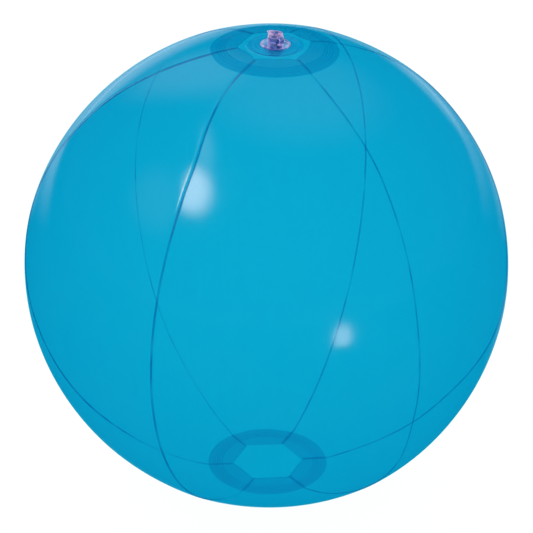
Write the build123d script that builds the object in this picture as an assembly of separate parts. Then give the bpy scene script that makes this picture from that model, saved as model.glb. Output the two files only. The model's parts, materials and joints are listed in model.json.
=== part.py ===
from build123d import *
import math
import os

# Inflatable beach ball: six welded film panels, a disc over each pole and a push-in valve with a tethered plug.
# Millimetres and degrees, +Z up. The origin is the centre of the flat bottom disc's underside, on the ball's axis.

# ---- film ----
FLAT_LENGTH = 406.4  # a panel laid flat, pole to pole, which is the nominal 16 inches
BALL_RADIUS = FLAT_LENGTH / math.pi  # outer face of the inflated panels
FILM = 0.25
PANELS = 6
FIRST_SEAM = -115.0  # azimuth of the seam before panel 1
LAP = 2.0  # a panel's edge strip reaches this far under its neighbour
JOGGLE = 1.0  # the same strip backs its own panel over this width
DISC_RADIUS = 33.0  # both polar discs
END_APOTHEM = 16.8  # the panel ends are cut straight and leave a hexagonal opening
SEAT_RADIUS = 15.0  # flat middle of the top disc, where the valve is welded

# ---- valve ----
FLANGE_RADIUS = 14.4
FLANGE_THICKNESS = 0.8
COLLAR_OUTER = 7.7
COLLAR_INNER = 6.9
COLLAR_HEIGHT = 0.6  # above the film's underside
STEM_RADIUS = 4.0
BORE_RADIUS = 3.0
BORE_CHAMFER = 0.35
STEM_HEIGHT = 5.0  # above the film's underside
DIAPHRAGM_DEPTH = 3.0
DIAPHRAGM_WALL = 0.5
DIAPHRAGM_GAP = 0.03  # radial play round the foot of the stem
HEAD_RADIUS = 3.75
HEAD_THICKNESS = 1.4
SHANK_LENGTH = 3.5
SHANK_TOP_RADIUS = 2.97
SHANK_TIP_RADIUS = 2.35
DIMPLE_RADIUS = 1.7
DIMPLE_DEPTH = 3.6
TAB_REACH = 6.4  # from the stem's axis to the tip of the finger tab
TAB_WIDTH = 3.4
TAB_THICKNESS = 0.8
STRAP_AZIMUTH = -57.0
STRAP_WIDTH = 3.2
STRAP_THICKNESS = 0.7
STRAP_RADIUS = 2.0  # bend radius of the strap's loop
STRAP_GAP = 0.02  # between the strap and the plug's head
FOLD_REACH = 6.1  # from the stem's axis to the fold of the strap
FLAP_RADIUS = 3.6
FLAP_THICKNESS = 0.4
FLAP_GAP = 0.05
FLAP_HINGE_REACH = 3.9

# ---- derived levels ----
CENTRE_Z = FILM + math.sqrt(BALL_RADIUS**2 - DISC_RADIUS**2)
SEAT_Z = CENTRE_Z + math.sqrt(BALL_RADIUS**2 - SEAT_RADIUS**2)  # underside of the top disc's flat middle
FLANGE_BOTTOM = SEAT_Z - FLANGE_THICKNESS
STEM_TOP = SEAT_Z + STEM_HEIGHT
STEM_BOTTOM = FLANGE_BOTTOM - DIAPHRAGM_DEPTH
FOLD_Z = STEM_TOP + HEAD_THICKNESS / 2 - STRAP_RADIUS
PANEL_ANGLE = 360.0 / PANELS
BIG = 3 * BALL_RADIUS  # size of the cutting blocks


def bottom_z(outer):
    """Height of the flat bottom of the surface that lies outer millimetres outside the panels' outer face."""
    return FILM - outer


def top_z(outer):
    """Height of the flat top of that surface."""
    return SEAT_Z + outer


def radius_at(z, outer):
    """Distance from the axis at height z on the round stretch of that surface."""
    return math.sqrt((BALL_RADIUS + outer) ** 2 - (z - CENTRE_Z) ** 2)


def round_point(angle, outer):
    """Point of the round stretch at an angle above the equator, in the XZ plane."""
    radius = BALL_RADIUS + outer
    return (
        radius * math.cos(math.radians(angle)),
        0,
        CENTRE_Z + radius * math.sin(math.radians(angle)),
    )


def meridian(outer, start):
    """Edges of one surface from the bottom flat to the top flat, both ending start millimetres from the axis."""
    low = (radius_at(bottom_z(outer), outer), 0, bottom_z(outer))
    high = (radius_at(top_z(outer), outer), 0, top_z(outer))
    return [
        Line((start, 0, bottom_z(outer)), low),
        ThreePointArc(low, round_point(0, outer), high),
        Line(high, (start, 0, top_z(outer))),
    ]


def film_layer(outer, half_angle):
    """One film thickness under the surface at outer, swept half_angle each way from the XZ plane."""
    start = END_APOTHEM / 2
    outside = meridian(outer, start)
    inside = meridian(outer - FILM, start)
    ends = [
        Line((start, 0, bottom_z(outer)), (start, 0, bottom_z(outer - FILM))),
        Line((start, 0, top_z(outer)), (start, 0, top_z(outer - FILM))),
    ]
    face = Face(Wire(outside + inside + ends))
    return Rot(0, 0, -half_angle) * revolve(face, Axis.Z, 2 * half_angle)


def make_panel():
    """A panel about the +X meridian, with its joggled lap strip along the seam on its +Y side."""
    half_angle = PANEL_ANGLE / 2
    panel = film_layer(0.0, half_angle)
    slab = Pos(BIG / 2, (LAP - JOGGLE) / 2, CENTRE_Z) * Box(BIG, LAP + JOGGLE, BIG)
    strip = film_layer(-FILM, half_angle / 3) & slab
    panel += Rot(0, 0, half_angle) * strip
    return panel & (Pos(END_APOTHEM + BIG / 2, 0, CENTRE_Z) * Box(BIG, BIG, BIG))


def make_top_disc():
    """The disc over the top ends of the panels: flat in the middle, then following the ball, with the valve hole."""

    def edge_point(outer):
        angle = math.degrees(math.acos(DISC_RADIUS / BALL_RADIUS))
        return round_point(angle, outer)

    def middle_point(outer):
        angle = math.degrees(math.acos((DISC_RADIUS + SEAT_RADIUS) / 2 / BALL_RADIUS))
        return round_point(angle, outer)

    lower_corner = (SEAT_RADIUS, 0, SEAT_Z)
    upper_corner = (radius_at(top_z(FILM), FILM), 0, top_z(FILM))
    lower_start = (COLLAR_OUTER, 0, SEAT_Z)
    upper_start = (COLLAR_OUTER, 0, top_z(FILM))
    edges = [
        Line(lower_start, lower_corner),
        ThreePointArc(lower_corner, middle_point(0.0), edge_point(0.0)),
        Line(edge_point(0.0), edge_point(FILM)),
        ThreePointArc(edge_point(FILM), middle_point(FILM), upper_corner),
        Line(upper_corner, upper_start),
        Line(upper_start, lower_start),
    ]
    return revolve(Face(Wire(edges)), Axis.Z)


def make_bottom_disc():
    """The flat disc that the ball rests on."""
    return Pos(0, 0, FILM / 2) * Cylinder(DISC_RADIUS, FILM)


def ring_of(points):
    """A ring turned from a closed outline of (radius, z) points."""
    outline = Polyline(*[(radius, 0, z) for radius, z in points], close=True)
    return revolve(make_face(outline), Axis.Z)


def make_flange():
    """The weld flange under the top disc, and the collar that stands up through the disc's hole."""
    collar_top = SEAT_Z + COLLAR_HEIGHT
    bevel = (COLLAR_OUTER - COLLAR_INNER) / 4
    return ring_of(
        [
            (COLLAR_INNER, FLANGE_BOTTOM),
            (FLANGE_RADIUS, FLANGE_BOTTOM),
            (FLANGE_RADIUS, SEAT_Z),
            (COLLAR_OUTER, SEAT_Z),
            (COLLAR_OUTER, collar_top - bevel),
            (COLLAR_OUTER - bevel, collar_top),
            (COLLAR_INNER + bevel, collar_top),
            (COLLAR_INNER, collar_top - bevel),
        ]
    )


def make_diaphragm():
    """The soft funnel that lets the stem roll in and out, from the flange's inner edge to the stem's foot."""
    inner = STEM_RADIUS + DIAPHRAGM_GAP
    slope = DIAPHRAGM_WALL  # the width of the level lip at each end
    return ring_of(
        [
            (COLLAR_INNER, FLANGE_BOTTOM + DIAPHRAGM_WALL),
            (COLLAR_INNER, FLANGE_BOTTOM),
            (inner + slope, STEM_BOTTOM),
            (inner, STEM_BOTTOM),
            (inner, STEM_BOTTOM + DIAPHRAGM_WALL),
            (COLLAR_INNER - slope, FLANGE_BOTTOM + DIAPHRAGM_WALL),
        ]
    )


def make_stem():
    """The valve's tube, with a chamfered mouth."""
    return ring_of(
        [
            (BORE_RADIUS, STEM_BOTTOM),
            (STEM_RADIUS, STEM_BOTTOM),
            (STEM_RADIUS, STEM_TOP),
            (BORE_RADIUS + BORE_CHAMFER, STEM_TOP),
            (BORE_RADIUS, STEM_TOP - BORE_CHAMFER),
        ]
    )


def make_plug():
    """The plug about the stem's axis: dimpled head, tapered shank, and a finger tab towards -X."""
    head_top = STEM_TOP + HEAD_THICKNESS
    tip = STEM_TOP - SHANK_LENGTH
    turned = ring_of(
        [
            (0, tip),
            (SHANK_TIP_RADIUS, tip),
            (SHANK_TOP_RADIUS, STEM_TOP),
            (HEAD_RADIUS, STEM_TOP),
            (HEAD_RADIUS, head_top),
            (DIMPLE_RADIUS, head_top),
            (DIMPLE_RADIUS, head_top - DIMPLE_DEPTH),
            (0, head_top - DIMPLE_DEPTH),
        ]
    )
    tab_z = STEM_TOP + HEAD_THICKNESS / 2
    tip_x = -(TAB_REACH - TAB_WIDTH / 2)
    tab = Pos(tip_x, 0, tab_z) * Cylinder(TAB_WIDTH / 2, TAB_THICKNESS)
    tab += Pos(tip_x / 2, 0, tab_z) * Box(-tip_x, TAB_WIDTH, TAB_THICKNESS)
    return turned + (tab - Pos(0, 0, tab_z) * Cylinder(HEAD_RADIUS - 0.5, HEAD_THICKNESS))


def make_strap():
    """The plug's strap, a half loop from the stem's wall out to the fold and back to the plug's head."""
    half = STRAP_THICKNESS / 2
    centre = Pos(FOLD_REACH - STRAP_RADIUS, 0, FOLD_Z)
    ring = Cylinder(STRAP_RADIUS + half, STRAP_WIDTH) - Cylinder(STRAP_RADIUS - half, STRAP_WIDTH)
    outer_side = Pos(BIG / 2, 0, 0) * Box(BIG, BIG, BIG)
    strap = centre * Rot(90, 0, 0) * (ring & outer_side)
    lead_length = FOLD_REACH - STRAP_RADIUS
    for level in (FOLD_Z - STRAP_RADIUS, FOLD_Z + STRAP_RADIUS):
        strap += Pos(lead_length / 2, 0, level) * Box(lead_length, STRAP_WIDTH, STRAP_THICKNESS)
    stem = Pos(0, 0, STEM_TOP / 2) * Cylinder(STEM_RADIUS, STEM_TOP)
    head = Pos(0, 0, STEM_TOP) * Cylinder(HEAD_RADIUS + STRAP_GAP, 4 * HEAD_THICKNESS)
    return strap - stem - head


def make_check_flap():
    """The non-return flap under the stem's inner end, with the ear that it hinges on towards -X."""
    z = STEM_BOTTOM - FLAP_GAP - FLAP_THICKNESS / 2
    ear = Pos(-FLAP_HINGE_REACH / 2, 0, z) * Box(FLAP_HINGE_REACH, FLAP_RADIUS, FLAP_THICKNESS)
    return Pos(0, 0, z) * Cylinder(FLAP_RADIUS, FLAP_THICKNESS) + ear


def write(name, shape):
    """Write one node's solid to its own STEP file."""
    export_step(shape, f"parts/{name}.step")


def main():
    os.makedirs("parts", exist_ok=True)
    panel = make_panel()
    for number in range(PANELS):
        azimuth = FIRST_SEAM + PANEL_ANGLE * (number + 0.5)
        write(f"panel_{number + 1}", Rot(0, 0, azimuth) * panel)
    write("top_disc", make_top_disc())
    write("bottom_disc", make_bottom_disc())
    write("valve_flange", make_flange())
    write("valve_diaphragm", make_diaphragm())
    write("valve_stem", make_stem())
    facing = Rot(0, 0, STRAP_AZIMUTH)
    write("valve_plug", facing * make_plug())
    write("plug_strap", facing * make_strap())
    write("check_flap", facing * make_check_flap())


main()
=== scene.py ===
import json
import logging
import math
from dataclasses import dataclass
from enum import Enum
from typing import Any, Callable, Sequence

import bmesh
import bpy
from mathutils import Matrix, Vector, noise


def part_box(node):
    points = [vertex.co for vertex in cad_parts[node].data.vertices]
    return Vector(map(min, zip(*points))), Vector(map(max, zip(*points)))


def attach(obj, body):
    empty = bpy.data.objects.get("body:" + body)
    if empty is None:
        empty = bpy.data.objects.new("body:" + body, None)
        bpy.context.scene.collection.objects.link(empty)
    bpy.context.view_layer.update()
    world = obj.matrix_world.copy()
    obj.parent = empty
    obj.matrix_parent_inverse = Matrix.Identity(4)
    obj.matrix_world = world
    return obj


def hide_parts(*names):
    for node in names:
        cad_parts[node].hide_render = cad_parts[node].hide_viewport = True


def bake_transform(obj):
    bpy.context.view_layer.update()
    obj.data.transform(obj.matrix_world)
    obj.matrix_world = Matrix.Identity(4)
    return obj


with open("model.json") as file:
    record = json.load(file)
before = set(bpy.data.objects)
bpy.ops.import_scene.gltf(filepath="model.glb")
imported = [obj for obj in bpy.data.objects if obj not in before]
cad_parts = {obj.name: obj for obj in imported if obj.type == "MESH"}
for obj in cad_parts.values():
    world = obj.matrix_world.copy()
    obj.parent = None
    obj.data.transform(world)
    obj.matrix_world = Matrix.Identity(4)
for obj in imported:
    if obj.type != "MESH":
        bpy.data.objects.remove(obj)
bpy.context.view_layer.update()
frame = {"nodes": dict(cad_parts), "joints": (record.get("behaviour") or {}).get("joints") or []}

# An inflated beach ball: six RF-welded panels of tinted PVC film, a disc over each pole and a clear push-in
# valve. Metres, +Z up, in the CAD model's frame.

MM = 0.001
NOISE_LOW, NOISE_HIGH = 0.3, 0.7  # a noise node's values lie mostly between these
BUMP_DEPTH = 0.1 * MM
LOG = logging.getLogger("beach_ball")

Outline = list[tuple[float, float]]


# ---------------------------------------------------------------- small helpers


def linear(colour: str) -> tuple[float, float, float, float]:
    """Turns an sRGB hex colour into Blender's linear colour.

    Args:
        colour: The colour as "#RRGGBB".

    Returns:
        Linear red, green, blue and an alpha of 1.
    """
    parts = [int(colour[i : i + 2], 16) / 255 for i in (1, 3, 5)]
    red, green, blue = (p / 12.92 if p <= 0.04045 else ((p + 0.055) / 1.055) ** 2.4 for p in parts)
    return (red, green, blue, 1.0)


def smooth_step(value: float, start: float, end: float) -> float:
    """Rises smoothly from 0 at start to 1 at end.

    Args:
        value: Where to read the step.
        start: Where it leaves 0.
        end: Where it reaches 1.

    Returns:
        The step's height, from 0 to 1.
    """
    t = min(max((value - start) / (end - start), 0.0), 1.0)
    return t * t * (3 - 2 * t)


def soft_max(a: float, b: float, blend: float) -> float:
    """The larger of a and b, with the corner between them rounded over about blend."""
    return 0.5 * (a + b + math.sqrt((a - b) ** 2 + blend**2))


def noise_round(azimuth: float, waves: float, seed: float) -> float:
    """Smooth noise that meets itself after a full turn.

    Args:
        azimuth: Angle about the axis.
        waves: How fast it varies.
        seed: Which noise it is.

    Returns:
        The noise, from about -1 to 1.
    """
    return noise.noise(Vector((waves * math.cos(azimuth), waves * math.sin(azimuth), seed)))


def add(
    tree: bpy.types.NodeTree,
    kind: str,
    settings: dict[str | int, Any] | None = None,
    links: dict[str | int, bpy.types.NodeSocket] | None = None,
) -> bpy.types.Node:
    """Adds a node with its settings and links.

    Args:
        tree: The node tree.
        kind: The node's type without its "ShaderNode" prefix.
        settings: Node properties, or values of input sockets, by name or number.
        links: The output that feeds each input socket, by name or number.

    Returns:
        The new node.
    """
    node = tree.nodes.new("ShaderNode" + kind)
    for key, value in (settings or {}).items():
        if isinstance(key, str) and hasattr(node, key):
            setattr(node, key, value)
        else:
            node.inputs[key].default_value = value
    for key, output in (links or {}).items():
        tree.links.new(output, node.inputs[key])
    return node


def new_material(name: str) -> tuple[bpy.types.Material, bpy.types.NodeTree, bpy.types.Node]:
    """Makes an empty node material.

    Args:
        name: The material's name.

    Returns:
        The material, its node tree and its output node.
    """
    material = bpy.data.materials.new(name)
    material.use_nodes = True
    material.node_tree.nodes.clear()
    return material, material.node_tree, add(material.node_tree, "OutputMaterial")


# ---------------------------------------------------------------- finishes


@dataclass(frozen=True)
class TintedFilm:
    """Plasticised PVC film, calendered and tinted in the mass, then RF-welded.

    The eye sees clear turquoise that deepens with every layer and towards the rim, sharp soft-box reflections
    broken a little by the film's unevenness, and a trace of milkiness from the plasticiser.
    """

    name: str = "plasticised_pvc_film"
    tint: str = "#2ED3E9"  # what one film thickness lets through
    milk: str = "#2FB9DC"  # the plasticiser's haze
    slant: float = 1.75  # index that sets how the path lengthens with the slant, above the film's real 1.53
    face_gloss: float = 0.065  # share that both faces of the film reflect, seen square on
    rim_gloss: float = 0.2  # the same at a grazing angle
    weld_dulling: float = 0.8  # how much of the gloss the weld tool's fine pattern takes away
    milkiness: float = 0.015  # the haze's share
    unevenness: float = 0.012  # how far the thickness strays, as a share of it
    roughness: tuple[float, float] = (0.08, 0.15)
    streak_mm: tuple[float, float] = (2.2, 90.0)  # calender streaks, across and along a panel
    streak_relief: float = 0.04
    pebble_mm: float = 3.0  # the film's faint orange peel
    pebble_relief: float = 0.05
    smear_mm: float = 38.0  # handling marks

    def material(self) -> bpy.types.Material:
        """Builds the node material.

        Returns:
            The film's material. It reads the mesh attributes film_mm, layer_depth, weld_band and outer_skin.
        """
        material, tree, output = new_material(self.name)
        millimetres = add(tree, "Attribute", {"attribute_name": "film_mm"}).outputs["Vector"]
        depth = add(tree, "Attribute", {"attribute_name": "layer_depth"}).outputs["Fac"]
        across, along = self.streak_mm
        stretched = add(
            tree, "Mapping", {"Scale": (1 / across, 1 / along, 1 / across)}, {"Vector": millimetres}
        )
        streaks = add(tree, "TexNoise", {"Scale": 1.0, "Detail": 3.0}, {"Vector": stretched.outputs[0]})
        smears = add(
            tree, "TexNoise", {"Scale": 1 / self.smear_mm, "Detail": 5.0}, {"Vector": millimetres}
        )
        pebble = add(
            tree, "TexNoise", {"Scale": 1 / self.pebble_mm, "Detail": 2.0}, {"Vector": millimetres}
        )

        facing = add(tree, "LayerWeight", {"Blend": 0.5}).outputs["Facing"]
        cosine = add(tree, "Math", {"operation": "SUBTRACT", 0: 1.0}, {1: facing}).outputs[0]
        squared = add(tree, "Math", {"operation": "MULTIPLY"}, {0: cosine, 1: cosine}).outputs[0]
        bend = 1 / self.slant**2
        inside = add(tree, "Math", {"operation": "MULTIPLY_ADD", 1: bend, 2: 1 - bend}, {0: squared})
        path = add(tree, "Math", {"operation": "INVERSE_SQRT"}, {0: inside.outputs[0]}).outputs[0]
        uneven = add(
            tree,
            "MapRange",
            {
                "From Min": NOISE_LOW,
                "From Max": NOISE_HIGH,
                "To Min": 0.5 - self.unevenness / 2,  # a ray passes both skins, so each adds half
                "To Max": 0.5 + self.unevenness / 2,
            },
            {"Value": streaks.outputs["Fac"]},
        ).outputs["Result"]
        layered = add(tree, "Math", {"operation": "MULTIPLY"}, {0: depth, 1: uneven}).outputs[0]
        thickness = add(tree, "Math", {"operation": "MULTIPLY"}, {0: layered, 1: path}).outputs[0]
        tint = add(tree, "Gamma", {"Color": linear(self.tint)}, {"Gamma": thickness}).outputs[0]

        roughness = add(
            tree,
            "MapRange",
            {
                "From Min": NOISE_LOW,
                "From Max": NOISE_HIGH,
                "To Min": self.roughness[0],
                "To Max": self.roughness[1],
            },
            {"Value": smears.outputs["Fac"]},
        ).outputs["Result"]
        relief = add(
            tree,
            "Bump",
            {"Strength": self.pebble_relief, "Distance": BUMP_DEPTH},
            {"Height": pebble.outputs["Fac"]},
        )
        streaked = add(
            tree,
            "Bump",
            {"Strength": self.streak_relief, "Distance": BUMP_DEPTH},
            {"Height": streaks.outputs["Fac"], "Normal": relief.outputs[0]},
        ).outputs[0]

        clear = add(tree, "BsdfTransparent", {}, {"Color": tint})
        milk = add(tree, "BsdfTranslucent", {"Color": linear(self.milk)}, {"Normal": streaked})
        body = add(tree, "MixShader", {0: self.milkiness}, {1: clear.outputs[0], 2: milk.outputs[0]})
        gloss = add(
            tree, "BsdfGlossy", {"Color": linear("#FFFFFF")}, {"Roughness": roughness, "Normal": streaked}
        )
        # Reflection rises with the fifth power, as Schlick's formula has it.
        steep = add(tree, "Math", {"operation": "POWER", 1: 5.0}, {0: facing}).outputs[0]
        share = add(
            tree,
            "Math",
            {"operation": "MULTIPLY_ADD", 1: self.rim_gloss - self.face_gloss, 2: self.face_gloss},
            {0: steep},
        ).outputs[0]
        weld = add(tree, "Attribute", {"attribute_name": "weld_band"}).outputs["Fac"]
        outer_skin = add(tree, "Attribute", {"attribute_name": "outer_skin"}).outputs["Fac"]
        from_inside = add(tree, "NewGeometry").outputs["Backfacing"]
        dulled = add(
            tree, "Math", {"operation": "MULTIPLY_ADD", 1: -self.weld_dulling, 2: 1.0}, {0: weld}
        ).outputs[0]
        seen = add(
            tree, "Math", {"operation": "SUBTRACT", "use_clamp": True}, {0: outer_skin, 1: from_inside}
        ).outputs[0]
        kept = add(tree, "Math", {"operation": "MULTIPLY"}, {0: seen, 1: dulled}).outputs[0]
        share = add(tree, "Math", {"operation": "MULTIPLY"}, {0: share, 1: kept}).outputs[0]
        surface = add(tree, "MixShader", {}, {0: share, 1: body.outputs[0], 2: gloss.outputs[0]})
        tree.links.new(surface.outputs[0], output.inputs["Surface"])
        return material


@dataclass(frozen=True)
class ClearMoulding:
    """Clear plasticised PVC, injection-moulded.

    The eye sees a lilac-blue glassiness with sharp glints. Along the rounded edges a pinkish glint is
    painted, as pink colour and a glow at grazing angles, and the deep blue of the tinted film's light
    refracted through the moulding is painted as blue patches.
    """

    name: str = "clear_moulded_pvc"
    colour: str = "#BED0F3"
    # painted glint: this pink is mixed in at grazing angles and also glows there
    painted_glint_colour: str = "#FFC9E6"
    # painted refraction: blue patches standing in for the tinted film's light bent through the moulding
    painted_refraction_blue: str = "#2450B4"
    painted_edge_glow: float = 0.55  # painted glow: the edges emit light, standing in for light led through the moulding
    painted_glint_power: float = 2.6  # how narrow the painted pink glints and glow are
    painted_refraction_strength: float = 0.8  # how strongly the painted blue refraction patches show
    refraction_patch_edge: tuple[float, float] = (0.47, 0.56)  # noise values between which a patch fades in
    ior: float = 1.53
    roughness: tuple[float, float] = (0.04, 0.1)
    flow_mm: float = 1.4  # flow marks of the moulding
    flow_relief: float = 0.2
    refraction_patch_mm: float = 3.2  # how far apart the painted blue refraction patches lie
    transmission: float = 0.85

    def material(self) -> bpy.types.Material:
        """Builds the node material.

        Returns:
            The valve's material.
        """
        material, tree, output = new_material(self.name)
        place = add(tree, "TexCoord").outputs["Object"]
        flow = add(
            tree, "TexNoise", {"Scale": 1 / (self.flow_mm * MM), "Detail": 3.0}, {"Vector": place}
        )
        roughness = add(
            tree,
            "MapRange",
            {
                "From Min": NOISE_LOW,
                "From Max": NOISE_HIGH,
                "To Min": self.roughness[0],
                "To Max": self.roughness[1],
            },
            {"Value": flow.outputs["Fac"]},
        ).outputs["Result"]
        relief = add(
            tree,
            "Bump",
            {"Strength": self.flow_relief, "Distance": BUMP_DEPTH},
            {"Height": flow.outputs["Fac"]},
        )
        # Painted refraction: noise patches of deep blue stand in for the tinted film's light refracted
        # through the moulding.
        refraction_patch_noise = add(
            tree, "TexNoise", {"Scale": 1 / (self.refraction_patch_mm * MM), "Detail": 2.0}, {"Vector": place}
        )
        painted_refraction_mask = add(
            tree,
            "MapRange",
            {"From Min": self.refraction_patch_edge[0], "From Max": self.refraction_patch_edge[1], "To Max": self.painted_refraction_strength},
            {"Value": refraction_patch_noise.outputs["Fac"]},
        ).outputs["Result"]
        # Painted glint: pink colour towards grazing angles stands in for highlights along the edges.
        facing = add(tree, "LayerWeight", {"Blend": 0.5}).outputs["Facing"]
        rim = add(tree, "Math", {"operation": "POWER", 1: self.painted_glint_power}, {0: facing}).outputs[0]
        refraction_tinted_colour = add(
            tree,
            "Mix",
            {"data_type": "RGBA", 6: linear(self.colour), 7: linear(self.painted_refraction_blue)},
            {0: painted_refraction_mask},
        ).outputs[2]
        colour = add(
            tree, "Mix", {"data_type": "RGBA", 7: linear(self.painted_glint_colour)}, {0: rim, 6: refraction_tinted_colour}
        ).outputs[2]
        shader = add(
            tree,
            "BsdfPrincipled",
            {
                "IOR": self.ior,
                "Transmission Weight": self.transmission,
                "Emission Color": linear(self.painted_glint_colour),
            },
            {"Base Color": colour, "Roughness": roughness, "Normal": relief.outputs[0]},
        )
        # Painted glow: the edges emit pink light, though the moulding is no lamp.
        if self.painted_edge_glow:
            glow = add(tree, "Math", {"operation": "MULTIPLY", 1: self.painted_edge_glow}, {0: rim})
            tree.links.new(glow.outputs[0], shader.inputs["Emission Strength"])
        tree.links.new(shader.outputs[0], output.inputs["Surface"])
        return material


@dataclass(frozen=True)
class PaleFloor:
    """Opal acrylic light table, lit from below, under a little matt white paper.

    The eye sees even white with a trace of shadow. Mirror rays find it dim, as if black flags stood round the
    ball, apart from a few pools of light that brighten the ball's edges.
    """

    name: str = "backlit_opal_acrylic"
    colour: str = "#FFFFFF"
    glow: float = 0.97  # brightness of the table
    paper_share: float = 0.05  # how much the paper takes part
    flagged: float = 0.01  # brightness that a mirror ray finds
    pool_core: float = 0.4  # this much of a pool's radius is at full brightness
    pools: tuple[tuple[float, float, float, float], ...] = (  # x, y and radius in metres, and brightness
        (0.1, 0.18, 0.13, 0.6),
        (-0.38, 1.1, 0.75, 1.1),
        (-0.2, 0.5, 0.2, 0.8),
        (0.3, 1.7, 1.3, 0.75),
        (0.2, 0.5, 0.24, 0.5),
        (-0.07, 0.1, 0.06, 0.3),
    )

    def material(self) -> bpy.types.Material:
        """Builds the node material.

        Returns:
            The floor's material.
        """
        material, tree, output = new_material(self.name)
        place = add(tree, "TexCoord").outputs["Object"]
        brightness: bpy.types.NodeSocket | None = None
        for x, y, radius, level in self.pools:
            away = add(
                tree, "VectorMath", {"operation": "DISTANCE", 1: (x, y, 0.0)}, {0: place}
            ).outputs["Value"]
            pool = add(
                tree,
                "MapRange",
                {
                    "interpolation_type": "SMOOTHSTEP",
                    "From Min": self.pool_core * radius,
                    "From Max": radius,
                    "To Min": level,
                    "To Max": self.flagged,
                },
                {"Value": away},
            ).outputs["Result"]
            if brightness is not None:
                pool = add(tree, "Math", {"operation": "MAXIMUM"}, {0: brightness, 1: pool}).outputs[0]
            brightness = pool
        paper = add(tree, "BsdfDiffuse", {"Color": linear(self.colour)})
        strength = self.glow / (1 - self.paper_share)
        glow = add(tree, "Emission", {"Color": linear(self.colour), "Strength": strength})
        table = add(tree, "MixShader", {0: self.paper_share}, {1: glow.outputs[0], 2: paper.outputs[0]})
        dim = add(tree, "Emission", {"Color": linear("#FFFFFF")}, {"Strength": brightness})
        mix = add(
            tree, "MixShader", {}, {0: mirror_ray(tree), 1: table.outputs[0], 2: dim.outputs[0]}
        )
        tree.links.new(mix.outputs[0], output.inputs["Surface"])
        return material


def mirror_ray(tree: bpy.types.NodeTree) -> bpy.types.NodeSocket:
    """Adds nodes that give 1 for a ray that left a glossy reflection, and 0 for every other ray.

    Args:
        tree: The node tree.

    Returns:
        The output socket.
    """
    path = add(tree, "LightPath")
    product = add(
        tree,
        "Math",
        {"operation": "MULTIPLY"},
        {0: path.outputs["Is Glossy Ray"], 1: path.outputs["Is Reflection Ray"]},
    )
    return product.outputs[0]


# ---------------------------------------------------------------- meshes


def make_piece(
    name: str,
    vertices: Sequence[Vector],
    faces: Sequence[Sequence[int]],
    material: bpy.types.Material,
    crease_degrees: float = 40.0,
) -> bpy.types.Object:
    """Makes a smooth-shaded closed piece.

    Args:
        name: The piece's name.
        vertices: Its points.
        faces: Its faces, as indices into vertices.
        material: Its material.
        crease_degrees: Edges that turn by more than this stay sharp.

    Returns:
        The object, linked to the scene.
    """
    mesh = bpy.data.meshes.new(name)
    mesh.from_pydata([tuple(v) for v in vertices], [], [tuple(f) for f in faces])
    editable = bmesh.new()
    editable.from_mesh(mesh)
    bmesh.ops.recalc_face_normals(editable, faces=editable.faces)
    editable.to_mesh(mesh)
    editable.free()
    mesh.shade_smooth()
    mesh.set_sharp_from_angle(angle=math.radians(crease_degrees))
    mesh.materials.append(material)
    piece = bpy.data.objects.new(name, mesh)
    bpy.context.scene.collection.objects.link(piece)
    return piece


def set_attribute(piece: bpy.types.Object, name: str, values: Sequence[Any]) -> None:
    """Stores one number or one vector per point.

    Args:
        piece: The object.
        name: The attribute's name.
        values: One entry per vertex.
    """
    vectors = hasattr(values[0], "__len__")
    attribute = piece.data.attributes.new(name, "FLOAT_VECTOR" if vectors else "FLOAT", "POINT")
    flat = [number for value in values for number in value] if vectors else list(values)
    attribute.data.foreach_set("vector" if vectors else "value", flat)


def sheet_faces(rows: int, columns: int, ring: bool) -> list[tuple[int, ...]]:
    """Faces of a closed thin sheet whose outer grid of points is followed by its inner grid.

    Args:
        rows: Rows of each grid.
        columns: Columns of each grid.
        ring: True if the last column joins the first.

    Returns:
        Both skins and the walls along the open edges.
    """
    size = rows * columns
    faces: list[tuple[int, ...]] = []
    last = columns if ring else columns - 1
    for row in range(rows - 1):
        for column in range(last):
            a, b = row * columns + column, row * columns + (column + 1) % columns
            c, d = b + columns, a + columns
            faces.append((a, b, c, d))
            faces.append((a + size, d + size, c + size, b + size))
    for row in (0, rows - 1):
        for column in range(last):
            a, b = row * columns + column, row * columns + (column + 1) % columns
            faces.append((a, a + size, b + size, b))
    if not ring:
        for column in (0, columns - 1):
            for row in range(rows - 1):
                a = row * columns + column
                b = a + columns
                faces.append((a, b, b + size, a + size))
    return faces


def rounded(outline: Outline, radius: float, steps: int = 5) -> Outline:
    """Rounds every corner of a closed outline that does not lie on the axis.

    Args:
        outline: Its (radius, z) corners.
        radius: The largest corner radius, which shrinks on short sides.
        steps: Points per corner, less one.

    Returns:
        The rounded outline.
    """
    result: Outline = []
    for index, corner in enumerate(outline):
        here = Vector(corner)
        if here.x < 1e-9:
            result.append(corner)
            continue
        before = Vector(outline[index - 1]) - here
        after = Vector(outline[(index + 1) % len(outline)]) - here
        reach = min(radius, 0.45 * before.length, 0.45 * after.length)
        start, end = here + reach * before.normalized(), here + reach * after.normalized()
        for step in range(steps + 1):
            t = step / steps
            point = (1 - t) ** 2 * start + 2 * t * (1 - t) * here + t * t * end
            result.append((point.x, point.y))
    return result


def soft_oblong(width: float, thickness: float, turn: int = 20) -> Outline:
    """Points round a flat moulding's cross-section.

    Args:
        width: Its width.
        thickness: Its thickness.
        turn: How many points.

    Returns:
        The (side, up) points.
    """
    result: Outline = []
    for step in range(turn):
        side, up = math.cos(math.tau * step / turn), math.sin(math.tau * step / turn)
        across = math.copysign(abs(side) ** 0.5, side) * width / 2
        result.append((across, math.copysign(abs(up) ** 0.7, up) * thickness / 2))
    return result


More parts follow.
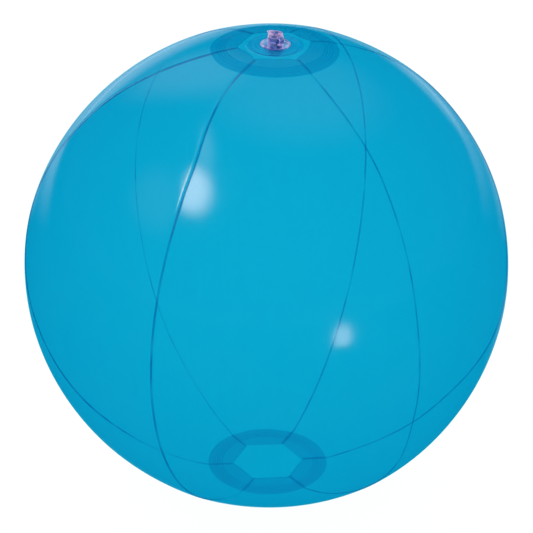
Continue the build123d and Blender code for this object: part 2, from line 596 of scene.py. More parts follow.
def strip(name: str, sections: list[list[Vector]], material: bpy.types.Material) -> bpy.types.Object:
    """Skins a row of cross-sections and closes both ends.

    Args:
        name: The piece's name.
        sections: The cross-sections, with the same number of points each.
        material: Its material.

    Returns:
        The piece.
    """
    turn = len(sections[0])
    last = turn * (len(sections) - 1)
    faces = [
        (start + step, start + (step + 1) % turn, start + turn + (step + 1) % turn, start + turn + step)
        for start in range(0, last, turn)
        for step in range(turn)
    ]
    faces += [tuple(range(turn)), tuple(range(last, last + turn))]
    return make_piece(name, [point for section in sections for point in section], faces, material, 60.0)


def lathe(
    name: str, outline: Outline, material: bpy.types.Material, segments: int = 96
) -> bpy.types.Object:
    """Turns a closed outline about the Z axis.

    Args:
        name: The piece's name.
        outline: Its (radius, z) points; points with no radius lie on the axis.
        material: Its material.
        segments: Steps round the axis.

    Returns:
        The turned piece.
    """
    vertices: list[Vector] = []
    rings: list[list[int]] = []
    for radius, z in outline:
        if radius < 1e-9:
            rings.append([len(vertices)] * segments)
            vertices.append(Vector((0, 0, z)))
            continue
        rings.append(list(range(len(vertices), len(vertices) + segments)))
        for step in range(segments):
            angle = math.tau * step / segments
            vertices.append(Vector((radius * math.cos(angle), radius * math.sin(angle), z)))
    faces: list[list[int]] = []
    for index, ring in enumerate(rings):
        following = rings[(index + 1) % len(rings)]
        for step in range(segments):
            other = (step + 1) % segments
            face = list(dict.fromkeys((ring[step], ring[other], following[other], following[step])))
            if len(face) > 2:
                faces.append(face)
    return make_piece(name, vertices, faces, material)


# ---------------------------------------------------------------- the ball's form


@dataclass(frozen=True)
class BallShape:
    """The inflated ball's form, which every film piece follows."""

    centre_z: float
    radius: float
    film: float
    disc_radius: float
    seat_z: float
    panels: int = 6
    first_seam: float = math.radians(-115)
    end_apothem: float = 16.8 * MM
    flattening: float = 0.009  # how much nearer the middle of a panel lies than its seams
    valley_depth: float = 0.13 * MM  # the crease that the weld draws in along a seam
    valley_width: float = 0.7 * MM
    covered_valley: float = 0.25  # how much of the crease is left under the discs
    disc_hold: tuple[float, float] = (0.8, 1.5)  # the discs hold the film smooth out to here, in disc radii
    bow: float = 2.6 * MM  # the ball's middle hangs this far to one side of the line between its poles
    flat_blend: float = 0.6 * MM  # rounding where the ball meets its flat ends
    swell: float = 0.12 * MM  # the film's slow unevenness
    swell_length: float = 45 * MM
    wander_elevations: tuple[int, ...] = (-75, -45, -12, 15, 45, 75)
    wander: tuple[tuple[float, ...], ...] = (  # how many degrees each hand-fed seam strays there
        (0, -1, -1, -1, -1, -7),
        (2, 5, 2, 1, 1, -2),
        (1, -3, -8, 1, 16, 16),
        (-1, -1, -1, -1, -1, 0),
        (2, 2, 1, 1, 1, 0),
        (2, 0, -3, -5, -3, 2),
    )

    @classmethod
    def from_frame(cls) -> "BallShape":
        """Reads the sizes from the CAD nodes.

        Returns:
            The ball's form.
        """
        boxes = [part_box(name) for name in frame["nodes"] if name.startswith("panel_")]
        radius = max(high[0] for _, high in boxes)
        disc_low, disc_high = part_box("bottom_disc")
        film = disc_high[2] - disc_low[2]
        disc_radius = disc_high[0]
        centre_z = film + math.sqrt(radius**2 - disc_radius**2)
        return cls(centre_z, radius, film, disc_radius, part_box("top_disc")[1][2] - film)

    @property
    def panel_angle(self) -> float:
        """Angle between two seams."""
        return math.tau / self.panels

    def strayed(self, azimuth: float, elevation: float) -> float:
        """Where a point of the regular ball ends up round the axis, as the seams stray.

        Args:
            azimuth: Angle about the axis on the regular ball.
            elevation: Angle above the equator.

        Returns:
            The angle about the axis on the real ball.
        """
        degrees = math.degrees(elevation)
        steps = self.wander_elevations
        across = ((azimuth - self.first_seam) % math.tau) / self.panel_angle
        before = int(across) % self.panels
        total = 0.0
        over = smooth_step(across % 1, 0, 1)
        for seam, share in ((before, 1 - over), ((before + 1) % self.panels, over)):
            values = self.wander[seam]
            stray = values[0] if degrees < steps[0] else values[-1]
            for low, high, start, end in zip(steps, steps[1:], values, values[1:]):
                if low <= degrees <= high:
                    stray = start + (end - start) * smooth_step(degrees, low, high)
            total += share * stray
        return azimuth + math.radians(total)

    def surface(self, azimuth: float, elevation: float, offset: float) -> Vector:
        """A point of the film.

        Args:
            azimuth: Angle about the axis.
            elevation: Angle above the ball's equator.
            offset: Distance outside the panels' outer face.

        Returns:
            The point, in the CAD frame.
        """
        phase = (azimuth - self.first_seam) % self.panel_angle
        from_seam = min(phase, self.panel_angle - phase) * self.radius * math.cos(elevation)
        middle = 1 - (2 * phase / self.panel_angle - 1) ** 2
        around = self.strayed(azimuth, elevation)
        level, rise = math.cos(elevation), math.sin(elevation)
        outward = Vector((level * math.cos(around), level * math.sin(around), rise))
        held, free = (share * self.disc_radius for share in self.disc_hold)
        open_film = smooth_step(self.radius * level, held, free)
        crease = self.covered_valley + (1 - self.covered_valley) * open_film
        reach = self.radius * (1 - self.flattening * middle * level**2)
        reach -= self.valley_depth * crease * math.exp(-((from_seam / self.valley_width) ** 2))
        reach += self.swell * open_film * noise.noise(outward * (self.radius / self.swell_length))
        point = Vector((0, 0, self.centre_z)) + (reach + offset) * outward
        point.x -= self.bow * level**2
        point.z = soft_max(point.z, self.film - offset, self.flat_blend)
        point.z = -soft_max(-point.z, -(self.seat_z + offset), self.flat_blend / 2)
        return point

    def beyond_end(self, azimuth: float, radius: float) -> float:
        """How far outside the hexagonal opening, left by the straight panel ends, a point lies."""
        phase = (azimuth - self.first_seam) % self.panel_angle - self.panel_angle / 2
        return radius * math.cos(phase) - self.end_apothem


# ---------------------------------------------------------------- film pieces


@dataclass
class FilmPanels:
    """The six panels, each with a lap strip that passes under its neighbour."""

    shape: BallShape
    finish: bpy.types.Material
    laps: tuple[float, ...] = (0.85, 1.15, 0.85, 0.75, 1.7, 1.1)  # mm, each seam's visible lap
    weld_depths: tuple[float, ...] = (1.0, 0.95, 0.9, 0.65, 1.5, 1.1)  # colour that each lap adds
    low_depths: tuple[float, ...] = (0.5, 0.65, 1.0, 1.0, 0.3, 0.5)  # its share near the bottom disc
    covered_depth: float = 0.6  # its colour under the discs
    disc_lap: float = 1.5 * MM  # the lap is left wider under the discs
    skin: float = 0.22 * MM
    joggle: float = 0.27 * MM  # how far the lap strip drops under the neighbour's film
    joggle_ramp: tuple[float, float] = (-0.6 * MM, 0.1 * MM)  # past the seam
    colour_ramp: tuple[float, float] = (-0.05 * MM, 0.1 * MM)
    rows: int = 150
    middle_columns: int = 34
    evenness: float = 0.45  # share of even spacing between rows, which crowd towards the discs
    edge_steps: tuple[float, ...] = (0.0, 0.25, 0.5, 0.8, 1.2, 1.7, 2.4, 3.4, 5.0)  # mm from the seam
    lap_steps: tuple[float, ...] = (0.15, 0.35, 0.6, 0.8, 1.0)  # shares of the lap
    weld_mean: float = 0.75  # the hand-fed weld varies along the seam
    weld_swing: float = 0.9
    weld_limits: tuple[float, float] = (0.3, 1.25)
    weld_waves: float = 14.0
    low_band: tuple[float, float] = (48.0, 62.0)  # degrees below the equator

    def column_angles(self, radius: float, number: int) -> list[tuple[float, float]]:
        """Where a row's points lie across the panel.

        Args:
            radius: The row's distance from the ball's axis.
            number: The panel's place round the ball.

        Returns:
            For each column its angle from the panel's middle, and its distance past the far seam or below 0.
        """
        half = self.shape.panel_angle / 2
        edge = [step * MM / radius for step in self.edge_steps]
        inner = half - edge[-1]
        columns = [(-half + angle, -1.0) for angle in edge]
        for step in range(1, self.middle_columns):
            columns.append((-inner + 2 * inner * step / self.middle_columns, -1.0))
        columns += [(half - angle, -angle * radius) for angle in reversed(edge)]
        lap = self.laps[number] * MM
        lap += self.under_disc(radius) * (self.disc_lap - lap)
        for share in self.lap_steps:
            columns.append((half + share * lap / radius, share * lap))
        return columns

    def under_disc(self, radius: float) -> float:
        """How far a point at this distance from the axis lies under a disc, from 0 to 1."""
        edge = self.shape.disc_radius
        return 1 - smooth_step(radius, 0.94 * edge, 1.04 * edge)

    def lap_colour(self, elevation: float, radius: float, number: int) -> float:
        """How much colour a panel's lap adds.

        Args:
            elevation: Angle above the equator.
            radius: Distance from the ball's axis.
            number: The panel's place round the ball.

        Returns:
            The colour, in film thicknesses.
        """
        along = noise.noise(Vector((self.weld_waves * elevation, 7.0 * number, 0.5)))
        low, high = self.weld_limits
        weld = self.weld_depths[number] * min(max(self.weld_mean + self.weld_swing * along, low), high)
        weld *= 1 - (1 - self.low_depths[number]) * smooth_step(-math.degrees(elevation), *self.low_band)
        return weld + (self.covered_depth - weld) * self.under_disc(radius)

    def build_panel(self, number: int) -> bpy.types.Object:
        """Builds one panel.

        Args:
            number: Its place round the ball, from 0.

        Returns:
            The panel, riding on the ball and replacing its CAD node.
        """
        shape = self.shape
        middle = shape.first_seam + shape.panel_angle * (number + 0.5)
        columns = len(self.column_angles(shape.radius, number))
        outer: list[Vector] = []
        inner: list[Vector] = []
        depth: list[float] = []
        place: list[tuple[float, float, float]] = []
        for row in range(self.rows):
            share = row / (self.rows - 1)
            share += (1 - self.evenness) * (0.5 - 0.5 * math.cos(math.pi * share) - share)
            for column in range(columns):
                radius = shape.end_apothem
                for _ in range(4):
                    angle, past = self.column_angles(radius, number)[column]
                    end_radius = shape.end_apothem / math.cos(angle)
                    limit = math.acos(end_radius / shape.radius)
                    elevation = limit * (2 * share - 1)
                    radius = shape.radius * math.cos(elevation)
                drop = self.joggle * smooth_step(past, *self.joggle_ramp)
                azimuth = middle + angle
                outer.append(shape.surface(azimuth, elevation, -drop))
                inner.append(shape.surface(azimuth, elevation, -drop - self.skin))
                missing = 1 - self.lap_colour(elevation, radius, number)
                depth.append(1 - missing * smooth_step(past, *self.colour_ramp))
                place.append((angle * radius / MM, elevation * shape.radius / MM, 1000.0 * number))
        piece = make_piece(
            f"film_panel_{number + 1}", outer + inner, sheet_faces(self.rows, columns, False), self.finish
        )
        set_attribute(piece, "layer_depth", depth * 2)
        set_attribute(piece, "film_mm", place * 2)
        set_attribute(piece, "outer_skin", [1.0] * len(outer) + [0.0] * len(inner))
        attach(piece, "ball")
        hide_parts(f"panel_{number + 1}")
        return piece

    def build(self) -> list[bpy.types.Object]:
        """Builds all the panels."""
        return [self.build_panel(number) for number in range(self.shape.panels)]


class Pole(Enum):
    """Which end of the ball a disc closes."""

    TOP = "top"
    BOTTOM = "bottom"


@dataclass
class PolarDisc:
    """A disc welded over the panel ends, with the weld tool's fine rings in its outer band."""

    shape: BallShape
    finish: bpy.types.Material
    pole: Pole
    hole_radius: float
    gap: float = 0.03 * MM
    weld_inner: float = 24.9 * MM
    ridge_pitch: float = 1.35 * MM
    ridges: int = 4
    ridge_height: float = 0.1 * MM
    ridge_depth: float = 1.0  # the squeezed film gathers in the rings and adds this much colour
    ridge_power: int = 4  # how narrow that colour is
    groove_depth: float = 0.18  # the film between them is this much paler
    end_step: float = 0.16 * MM  # the disc sags inside the hexagon of panel ends
    end_ramp: tuple[float, float] = (-0.5 * MM, 0.35 * MM)  # beyond the panel ends
    ripple_pitch: float = 2.3 * MM  # the flange's rings show through the film
    ripple_height: float = 0.13 * MM
    ripple_band: tuple[float, float] = (7.9 * MM, 14.6 * MM)
    ripple_wander: float = 0.9  # how unevenly they run, in ripples
    edge_wave: float = 0.35 * MM  # how far the cut edge strays
    segments: int = 264
    zones: tuple[float, ...] = (15.4 * MM, 20.6 * MM, 24.4 * MM)  # flange, hexagon and plain film end here
    ring_steps: tuple[float, ...] = (0.26, 0.24, 0.55, 0.2)  # mm between the rings of points in each zone
    loose_depth: float = 0.38  # film that lies on the panels unwelded adds less colour
    weld_depth: float = 0.5  # the weld band's plain film adds this much
    lone_depth: float = 0.9  # inside the panel ends the disc is alone
    lap_dulling: float = 0.5  # share of a weld's dullness wherever the disc lies on a panel
    flange_depth: float = 0.12  # the weld to the valve's flange deepens the colour
    flange_dulling: float = 0.4
    flange_radius: float = 15.4 * MM
    flange_ragged: float = 2.4 * MM  # how far the edge of that weld strays
    colour_blur: tuple[float, float, float] = (0.2 * MM, 0.3 * MM, 0.6 * MM)  # of panel ends, band and flange

    def radii(self) -> list[float]:
        """The rings of points, close together where the disc has relief.

        Returns:
            Distances from the axis.
        """
        steps = self.ring_steps if self.pole is Pole.TOP else (1.0, *self.ring_steps[1:])
        result: list[float] = []
        start = self.hole_radius
        for end, step in zip((*self.zones, self.shape.disc_radius), steps):
            count = max(1, round((end - start) / (step * MM)))
            result += [start + (end - start) * index / count for index in range(count)]
            start = end
        return result + [start]

    def ridge(self, radius: float) -> float:
        """How far into one of the weld tool's rings a point lies, or 0 outside the band."""
        across = (radius - self.weld_inner) / self.ridge_pitch
        return 0.5 - 0.5 * math.cos(math.tau * across) if 0 < across < self.ridges else 0.0

    def relief(self, azimuth: float, radius: float) -> float:
        """How far the weld rings and the valve's ripples press the disc in or out.

        Args:
            azimuth: Angle about the axis.
            radius: Distance from it.

        Returns:
            The outward shift.
        """
        shift = -self.ridge_height * self.ridge(radius)
        if self.pole is Pole.TOP:
            low, high = self.ripple_band
            within = smooth_step(radius, low, low + 1 * MM) * (1 - smooth_step(radius, high - 1 * MM, high))
            phase = (radius - low) / self.ripple_pitch + self.ripple_wander * noise_round(azimuth, 1.5, 3.0)
            shift += self.ripple_height * within * math.sin(math.tau * phase)
            inside = 1 - smooth_step(self.shape.beyond_end(azimuth, radius), *self.end_ramp)
            shift -= self.end_step * inside * smooth_step(radius, high, high + 1.2 * MM)
        return shift

    def dress(self, azimuth: float, radius: float) -> tuple[float, float]:
        """How the disc's colour and dullness vary.

        Args:
            azimuth: Angle about the axis.
            radius: Distance from it.

        Returns:
            The colour that the disc adds, in film thicknesses, and how much of a weld's dullness it has.
        """
        end, band, flange = self.colour_blur
        over = smooth_step(self.shape.beyond_end(azimuth, radius), -end, end)
        weld = smooth_step(radius, self.weld_inner - band, self.weld_inner + band)
        layer = self.loose_depth + weld * (self.weld_depth - self.loose_depth)
        extra = 0.0
        if 0 < radius - self.weld_inner < self.ridges * self.ridge_pitch:
            extra = self.ridge_depth * self.ridge(radius) ** self.ridge_power - self.groove_depth
        if self.pole is Pole.TOP:
            reach = self.flange_radius + self.flange_ragged * noise_round(azimuth, 3, 9.0)
            within = 1 - smooth_step(radius, reach - flange, reach + flange)
            extra += self.flange_depth * within
            weld = max(weld, self.flange_dulling * within)
        return self.lone_depth + over * (layer - self.lone_depth) + extra, max(weld, self.lap_dulling * over)

    def build(self) -> bpy.types.Object:
        """Builds the disc.

        Returns:
            The disc, riding on the ball and replacing its CAD node.
        """
        shape = self.shape
        sign = 1 if self.pole is Pole.TOP else -1
        radii = self.radii()
        outer: list[Vector] = []
        inner: list[Vector] = []
        depth: list[float] = []
        band: list[float] = []
        place: list[tuple[float, float, float]] = []
        for radius in radii:
            for step in range(self.segments):
                azimuth = math.tau * step / self.segments
                edge = smooth_step(radius, 0.85 * shape.disc_radius, shape.disc_radius)
                here = radius + edge * self.edge_wave * noise_round(azimuth, 2, sign)
                elevation = sign * math.acos(here / shape.radius)
                shift = self.relief(azimuth, radius)
                outer.append(shape.surface(azimuth, elevation, shape.film + shift))
                inner.append(shape.surface(azimuth, elevation, self.gap + shift))
                colour, dullness = self.dress(azimuth, radius)
                depth.append(colour)
                band.append(dullness)
                x, y = radius * math.cos(azimuth), radius * math.sin(azimuth)
                place.append((x / MM, y / MM, 500.0 * sign))
        if self.hole_radius == 0:
            piece = self.closed_centre(radii, outer, inner)
        else:
            faces = sheet_faces(len(radii), self.segments, True)
            piece = make_piece(f"{self.pole.value}_film_disc", outer + inner, faces, self.finish)
        count = len(piece.data.vertices) // 2
        start = len(outer) - count
        set_attribute(piece, "layer_depth", depth[start:] * 2)
        set_attribute(piece, "weld_band", band[start:] * 2)
        set_attribute(piece, "outer_skin", [1.0] * count + [0.0] * count)
        set_attribute(piece, "film_mm", place[start:] * 2)
        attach(piece, "ball")
        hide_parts(f"{self.pole.value}_disc")
        return piece

    def closed_centre(
        self, radii: list[float], outer: list[Vector], inner: list[Vector]
    ) -> bpy.types.Object:
        """Builds a disc with no hole, whose innermost ring is a single point on each skin.

        Args:
            radii: The rings' radii, of which the first is 0.
            outer: The outer skin's points.
            inner: The inner skin's points.

        Returns:
            The disc.
        """
        turn = self.segments
        rings = len(radii) - 1
        outer = outer[turn - 1 :]
        inner = inner[turn - 1 :]
        size = len(outer)
        faces: list[tuple[int, ...]] = []
        for step in range(turn):
            a, b = 1 + step, 1 + (step + 1) % turn
            faces += [(0, a, b), (size, size + b, size + a)]
            for ring in range(rings - 1):
                c, d = a + ring * turn, b + ring * turn
                faces.append((c, c + turn, d + turn, d))
                faces.append((c + size, d + size, d + turn + size, c + turn + size))
            c, d = a + (rings - 1) * turn, b + (rings - 1) * turn
            faces.append((c, c + size, d + size, d))
        return make_piece(f"{self.pole.value}_film_disc", outer + inner, faces, self.finish)


# ---------------------------------------------------------------- valve


@dataclass
class PushInValve:
    """The clear valve: flange and collar, rolling diaphragm, stem, tethered plug and non-return flap."""

    shape: BallShape
    finish: bpy.types.Material
    flat_finish: bpy.types.Material
    disc: PolarDisc
    edge: float = 0.22 * MM  # radius of the moulding's edges
    flange_gap: float = 0.03 * MM  # below the disc
    flange_taper: tuple[float, float] = (2.4 * MM, 0.36 * MM)  # rim's width, and how far each face closes in
    collar_wall: float = 0.8 * MM
    collar_edge: float = 0.38 * MM
    diaphragm_wall: float = 0.45 * MM
    bore_radius: float = 3.0 * MM
    head_radius: float = 3.75 * MM
    shank_radii: tuple[float, float] = (2.35 * MM, 2.93 * MM)  # at its tip and under the head
    dimple_radius: float = 1.7 * MM
    tab_reach: float = 6.4 * MM  # from the axis
    tab_width: float = 3.4 * MM
    tab_thickness: float = 0.8 * MM
    tab_droop: float = 0.5 * MM
    strap_bend: float = 2.0 * MM  # radius of the fold
    strap_ends: tuple[float, float] = (3.9 * MM, 3.6 * MM)  # from the axis, on the stem and on the plug
    strap_width: tuple[float, float] = (3.2 * MM, 2.5 * MM)  # at the ends and in the fold
    strap_thickness: tuple[float, float] = (0.75 * MM, 0.6 * MM)
    flap_radius: float = 3.6 * MM
    flap_edge: float = 0.12 * MM

    def __post_init__(self) -> None:
        """Reads the joint of the plug, about whose fold the strap bends."""
        swing = next(joint for joint in frame["joints"] if joint["name"] == "plug_swing")
        self.fold = Vector(swing["pos_m"])
        self.facing = Matrix.Rotation(math.atan2(self.fold.y, self.fold.x), 4, "Z")

    def mount(self, piece: bpy.types.Object, body: str, node: str) -> bpy.types.Object:
        """Puts a finished piece on its body in place of a CAD node.

        Args:
            piece: The piece, in the CAD frame.
            body: The body it moves with.
            node: The CAD node it stands for.

        Returns:
            The piece.
        """
        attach(piece, body)
        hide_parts(node)
        return piece

    def build_flange(self) -> bpy.types.Object:
        """Builds the weld flange under the top disc, rippled as the disc is.

        Returns:
            The flange.
        """
        low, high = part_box("valve_flange")
        inner_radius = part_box("valve_diaphragm")[1][0]
        outer_radius = high[0]
        rings, turn = 30, 144
        width, close = self.flange_taper
        top: list[Vector] = []
        bottom: list[Vector] = []
        for ring in range(rings):
            radius = inner_radius + (outer_radius - inner_radius) * ring / (rings - 1)
            taper = close * smooth_step(radius, outer_radius - width, outer_radius)
            for step in range(turn):
                azimuth = math.tau * step / turn
                lift = self.disc.relief(azimuth, radius) - self.flange_gap
                x, y = radius * math.cos(azimuth), radius * math.sin(azimuth)
                top.append(Vector((x, y, self.shape.seat_z + lift - taper)))
                bottom.append(Vector((x, y, low[2] + taper)))
        faces = sheet_faces(rings, turn, True)
        piece = make_piece("valve_weld_flange", top + bottom, faces, self.flat_finish)
        return self.mount(piece, "ball", "valve_flange")

    def build_collar(self) -> bpy.types.Object:
        """Builds the bead that stands up through the hole in the disc.

        Returns:
            The collar.
        """
        _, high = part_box("valve_flange")
        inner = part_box("valve_diaphragm")[1][0]
        outer = inner + self.collar_wall
        base = self.shape.seat_z + self.disc.gap / 2
        outline = [(inner, base), (outer, base), (outer, high[2]), (inner, high[2])]
        piece = lathe("valve_collar", rounded(outline, self.collar_edge), self.finish)
        return self.mount(piece, "ball", "valve_flange")

    def build_diaphragm(self) -> bpy.types.Object:
        """Builds the rolling diaphragm.

        Returns:
            The diaphragm.
        """
        low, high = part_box("valve_diaphragm")
        outer, inner = high[0] - 0.02 * MM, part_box("valve_stem")[1][0] + 0.03 * MM
        wall, rows = self.diaphragm_wall, 22
        upper: Outline = []
        lower: Outline = []
        for row in range(rows + 1):
            t = row / rows
            radius = outer + (inner - outer) * t
            z = high[2] - wall + (low[2] - high[2] + wall) * smooth_step(t, 0.0, 1.0)
            upper.append((radius, z + wall))
            lower.append((radius, z))
        piece = lathe("valve_rolling_diaphragm", upper + lower[::-1], self.finish)
        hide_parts("valve_diaphragm")
        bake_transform(piece)
        return piece

    def build_stem(self) -> bpy.types.Object:
        """Builds the stem's tube, with a soft rim and a foot bead.

        Returns:
            The stem.
        """
        low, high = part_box("valve_stem")
        outer, bore = high[0], self.bore_radius
        outline = [
            (bore, low[2]),
            (outer, low[2]),
            (outer, high[2] - 1.0 * MM),
            (outer - 0.12 * MM, high[2]),
            (bore + 0.3 * MM, high[2]),
            (bore, high[2] - 0.4 * MM),
        ]
        piece = lathe("valve_stem_tube", rounded(outline, self.edge), self.finish)
        return self.mount(piece, "stem", "valve_stem")

    def build_plug(self) -> bpy.types.Object:
        """Builds the plug's turned body.

        Returns:
            The plug.
        """
        low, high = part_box("valve_plug")
        stem_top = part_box("valve_stem")[1][2]
        head, dimple = self.head_radius, self.dimple_radius
        tip, neck = self.shank_radii
        outline = [
            (0.0, low[2]),
            (tip, low[2]),
            (neck, stem_top - 0.1 * MM),
            (head, stem_top + 0.03 * MM),
            (head, high[2] - 0.25 * MM),
            (head - 0.5 * MM, high[2]),
            (dimple + 0.35 * MM, high[2]),
            (dimple, high[2] - 0.3 * MM),
            (dimple - 0.15 * MM, low[2] + 1.4 * MM),
            (0.0, low[2] + 1.3 * MM),
        ]
        piece = lathe("plug_body", rounded(outline, self.edge), self.finish)
        return self.mount(piece, "plug", "valve_plug")

    def build_tab(self) -> bpy.types.Object:
        """Builds the plug's finger tab, a rounded tongue that droops a little.

        Returns:
            The tab.
        """
        middle = (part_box("valve_stem")[1][2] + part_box("valve_plug")[1][2]) / 2
        root = self.head_radius - 0.6 * MM
        steps = 23
        sections: list[list[Vector]] = []
        for step in range(steps + 1):
            share = step / steps
            along = -root - (self.tab_reach - root) * share
            end = math.sqrt(max(1e-4, 1 - max(0.0, (share - 0.55) / 0.46) ** 2))
            height = middle - self.tab_droop * share**2
            section = soft_oblong(self.tab_width * end, self.tab_thickness * (0.6 + 0.4 * end))
            sections.append([Vector((along, side, height + up)) for side, up in section])
        piece = strip("plug_finger_tab", sections, self.finish)
        piece.data.transform(self.facing)
        return self.mount(piece, "plug", "valve_plug")

    def build_strap(self) -> bpy.types.Object:
        """Builds the strap, a loop of flat section from the stem out to its fold and back to the plug's head.

        Returns:
            The strap.
        """
        bend, steps = self.strap_bend, 24
        centre = self.fold.xy.length - bend
        root, tip = self.strap_ends
        path: list[tuple[float, float, float]] = [(root, -bend, 0.0)]
        for step in range(steps + 1):
            turned = math.pi * step / steps
            angle = turned - math.pi / 2
            path.append((centre + bend * math.cos(angle), bend * math.sin(angle), turned))
        path.append((tip, bend, math.pi))
        sections: list[list[Vector]] = []
        for index, (x, z, turned) in enumerate(path):
            waist = math.sin(math.pi * index / (len(path) - 1))
            width, thickness = (
                wide + (narrow - wide) * waist for wide, narrow in (self.strap_width, self.strap_thickness)
            )
            normal = Vector((math.sin(turned), 0, -math.cos(turned)))
            section = soft_oblong(width, thickness)
            sections.append([Vector((x, side, self.fold.z + z)) + out * normal for side, out in section])
        piece = strip("plug_tether_strap", sections, self.finish)
        piece.data.transform(self.facing)
        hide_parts("plug_strap")
        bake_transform(piece)
        return piece

    def build_flap(self) -> bpy.types.Object:
        """Builds the thin non-return flap at the stem's inner end.

        Returns:
            The flap.
        """
        low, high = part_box("check_flap")
        edge = self.flap_radius
        outline = [(0.0, low[2]), (edge, low[2]), (edge, high[2]), (0.0, high[2])]
        piece = lathe("valve_check_flap", rounded(outline, self.flap_edge), self.finish, 64)
        return self.mount(piece, "flap", "check_flap")

    def build(self) -> list[bpy.types.Object]:
        """Builds every piece of the valve."""
        return [
            self.build_flange(),
            self.build_collar(),
            self.build_diaphragm(),
            self.build_stem(),
            self.build_plug(),
            self.build_tab(),
            self.build_strap(),
            self.build_flap(),
        ]


# ---------------------------------------------------------------- studio


@dataclass(frozen=True)
class SoftLight:
    """One soft light, placed by the direction it shines from."""

    name: str
    direction: tuple[float, float, float]
    size: tuple[float, float]
    radiance: float
    fill: float = 0.0  # its share in lighting matt surfaces
    softness: float = 0.75  # how much of its half-width fades out
    distance: float = 1.5
    colour: str = "#FFFFFF"
    along: tuple[float, float, float] = (0.0, 0.0, 1.0)  # its second side runs this way

    def build(self, target: Vector) -> bpy.types.Object:
        """Makes the light.

        Args:
            target: The point it faces.

        Returns:
            The light's object.
        """
        light = bpy.data.lights.new(self.name, "AREA")
        light.shape = "ELLIPSE"
        light.size, light.size_y = self.size
        light.energy = self.radiance * math.pi * self.size[0] * self.size[1]
        light.diffuse_factor = self.fill
        lamp = bpy.data.objects.new(self.name, light)
        lamp.visible_camera = False
        away = Vector(self.direction).normalized()
        across = Vector(self.along).cross(away).normalized()
        turn = Matrix((across, away.cross(across), away)).transposed().to_4x4()
        lamp.matrix_world = Matrix.Translation(target + self.distance * away) @ turn
        self.fade(light)
        bpy.context.scene.collection.objects.link(lamp)
        return lamp

    def fade(self, light: bpy.types.Light) -> None:
        """Makes the cloth of the box glow most in its middle and fade towards its edge.

        Args:
            light: The light.
        """
        light.use_nodes = True
        tree = light.node_tree
        tree.nodes.clear()
        place = add(tree, "NewGeometry").outputs["Parametric"]
        away = add(
            tree, "VectorMath", {"operation": "DISTANCE", 1: (0.5, 0.5, 0.0)}, {0: place}
        ).outputs["Value"]
        glow = add(
            tree,
            "MapRange",
            {
                "interpolation_type": "SMOOTHSTEP",
                "From Min": 0.5 - 0.5 * self.softness,
                "From Max": 0.5,
                "To Min": 1.0,
                "To Max": 0.0,
            },
            {"Value": away},
        ).outputs["Result"]
        lamp = add(tree, "Emission", {"Color": linear(self.colour)}, {"Strength": glow})
        add(tree, "OutputLight", {}, {"Surface": lamp.outputs[0]})


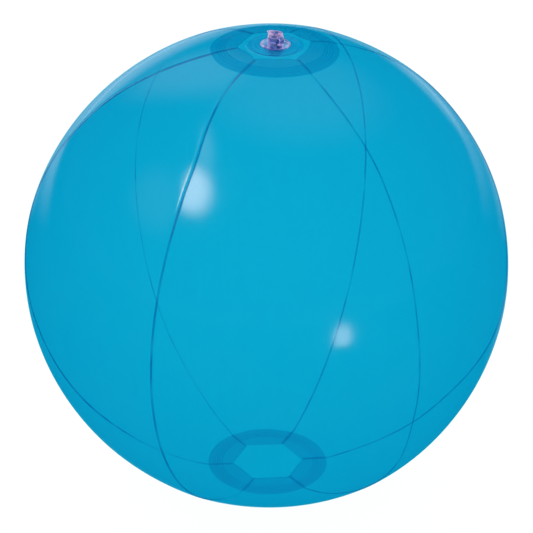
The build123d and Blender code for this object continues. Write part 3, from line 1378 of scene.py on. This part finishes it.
@dataclass
class Studio:
    """A pale floor, even white light all round, a few soft lights for the gloss, and the camera."""

    shape: BallShape
    elevation: float = math.radians(28.7)
    lean: float = math.radians(0.97)  # the camera's roll
    aim_drop: float = 0.6 * MM  # it aims this far below the ball's centre
    distance: float = 9.98  # in ball radii
    lens: float = 162.7
    light_level: float = 1.0
    flagged_level: float = 0.03  # the light that mirror rays find
    floor_half: float = 12.0

    def build_floor(self) -> bpy.types.Object:
        """Builds the floor.

        Returns:
            The floor.
        """
        mesh = bpy.data.meshes.new("studio_floor")
        half = self.floor_half
        corners = [(-half, -half, 0), (half, -half, 0), (half, half, 0), (-half, half, 0)]
        mesh.from_pydata(corners, [], [(0, 1, 2, 3)])
        mesh.materials.append(PaleFloor().material())
        floor = bpy.data.objects.new("studio_floor", mesh)
        bpy.context.scene.collection.objects.link(floor)
        return floor

    def build_world(self) -> None:
        """Lights everything evenly, but leaves mirror reflections dark."""
        world = bpy.data.worlds.new("soft_white_room")
        world.use_nodes = True
        tree = world.node_tree
        tree.nodes.clear()
        level = add(
            tree,
            "MapRange",
            {"To Min": self.light_level, "To Max": self.flagged_level},
            {"Value": mirror_ray(tree)},
        )
        background = add(tree, "Background", {"Color": linear("#FFFFFF")}, {"Strength": level.outputs[0]})
        output = add(tree, "OutputWorld", {}, {"Surface": background.outputs[0]})
        output.is_active_output = True
        bpy.context.scene.world = world

    def build_lights(self) -> list[bpy.types.Object]:
        """Hangs the soft lights.

        Returns:
            Their objects.
        """
        warm = "#FFE7E4"
        lengthwise = (0.0, 1.0, 0.0)
        lights = (
            SoftLight(
                "key_softbox", (-0.515, -0.345, 0.785), (0.85, 1.3), 4.6, 0.1, 0.6, 2.4, warm, lengthwise
            ),
            SoftLight("key_spill", (-0.42, -0.04, 0.9), (0.5, 1.7), 0.7, 0.0, 0.9, 2.4, along=lengthwise),
            SoftLight("side_spill", (-0.77, -0.2, 0.6), (1.0, 1.5), 0.13, distance=2.0, along=lengthwise),
            SoftLight("low_fill", (0.505, -0.857, -0.085), (0.15, 0.22), 3.0, distance=0.8, colour=warm),
            SoftLight("overhead_panel", (0.15, 0.44, 0.88), (2.1, 2.5), 0.14),
            SoftLight("left_back_panel", (-0.36, 0.72, 0.6), (0.9, 1.5), 0.38, distance=1.4),
            SoftLight("white_drop_left", (-0.3, 0.95, 0.0), (0.9, 0.7), 1.0, distance=1.3),
            SoftLight("white_drop_right", (0.4, 0.91, 0.0), (0.6, 0.4), 0.75, distance=1.3),
        )
        target = Vector((0, 0, self.shape.centre_z))
        return [light.build(target) for light in lights]

    def build_camera(self) -> bpy.types.Object:
        """Sets up the camera, level and aimed at the middle of the ball.

        Returns:
            The camera's object.
        """
        camera = bpy.data.cameras.new("camera")
        camera.lens = self.lens
        camera.sensor_width = 36.0
        camera.clip_end = 60.0
        view = bpy.data.objects.new("camera", camera)
        away = Vector((0, -math.cos(self.elevation), math.sin(self.elevation)))
        aim = Vector((-self.shape.bow, 0, self.shape.centre_z - self.aim_drop))
        place = aim + self.distance * self.shape.radius * away
        turn = away.to_track_quat("Z", "Y").to_matrix().to_4x4() @ Matrix.Rotation(self.lean, 4, "Z")
        view.matrix_world = Matrix.Translation(place) @ turn
        bpy.context.scene.collection.objects.link(view)
        bpy.context.scene.camera = view
        return view

    def build(self) -> None:
        """Builds the whole studio and plain colour management."""
        self.build_floor()
        self.build_world()
        self.build_lights()
        self.build_camera()
        scene = bpy.context.scene
        scene.view_settings.view_transform = "Standard"
        scene.cycles.transparent_max_bounces = 48


# ---------------------------------------------------------------- assembly


def main() -> None:
    """Builds the studio and the ball in order, and writes how large the result is."""
    logging.basicConfig(level=logging.INFO, format="%(name)s: %(message)s")
    shape = BallShape.from_frame()
    Studio(shape).build()
    LOG.info("studio ready round a ball of %.1f mm", 2 * shape.radius / MM)
    film = TintedFilm().material()
    clear = ClearMoulding().material()
    # The flange is welded to film of its own index, so its faces hardly bend the light.
    # The flange keeps the painted pink edge glint, without the painted glow or the painted blue refraction
    # patches.
    flat = ClearMoulding(
        "clear_pvc_flange", colour="#F5F4FC", ior=1.05, painted_edge_glow=0.0, painted_refraction_strength=0.0
    ).material()
    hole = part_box("valve_diaphragm")[1][0] + PushInValve.collar_wall
    top = PolarDisc(shape, film, Pole.TOP, hole)
    steps: tuple[tuple[str, Callable[[], Any]], ...] = (
        ("film panels", FilmPanels(shape, film).build),
        ("top disc", top.build),
        ("bottom disc", PolarDisc(shape, film, Pole.BOTTOM, 0.0).build),
        ("valve", PushInValve(shape, clear, flat, top).build),
    )
    for label, build in steps:
        made = build()
        for piece in made if isinstance(made, list) else [made]:
            LOG.info("%s: %s, %d points", label, piece.name, len(piece.data.vertices))


if __name__ == "__main__":
    main()
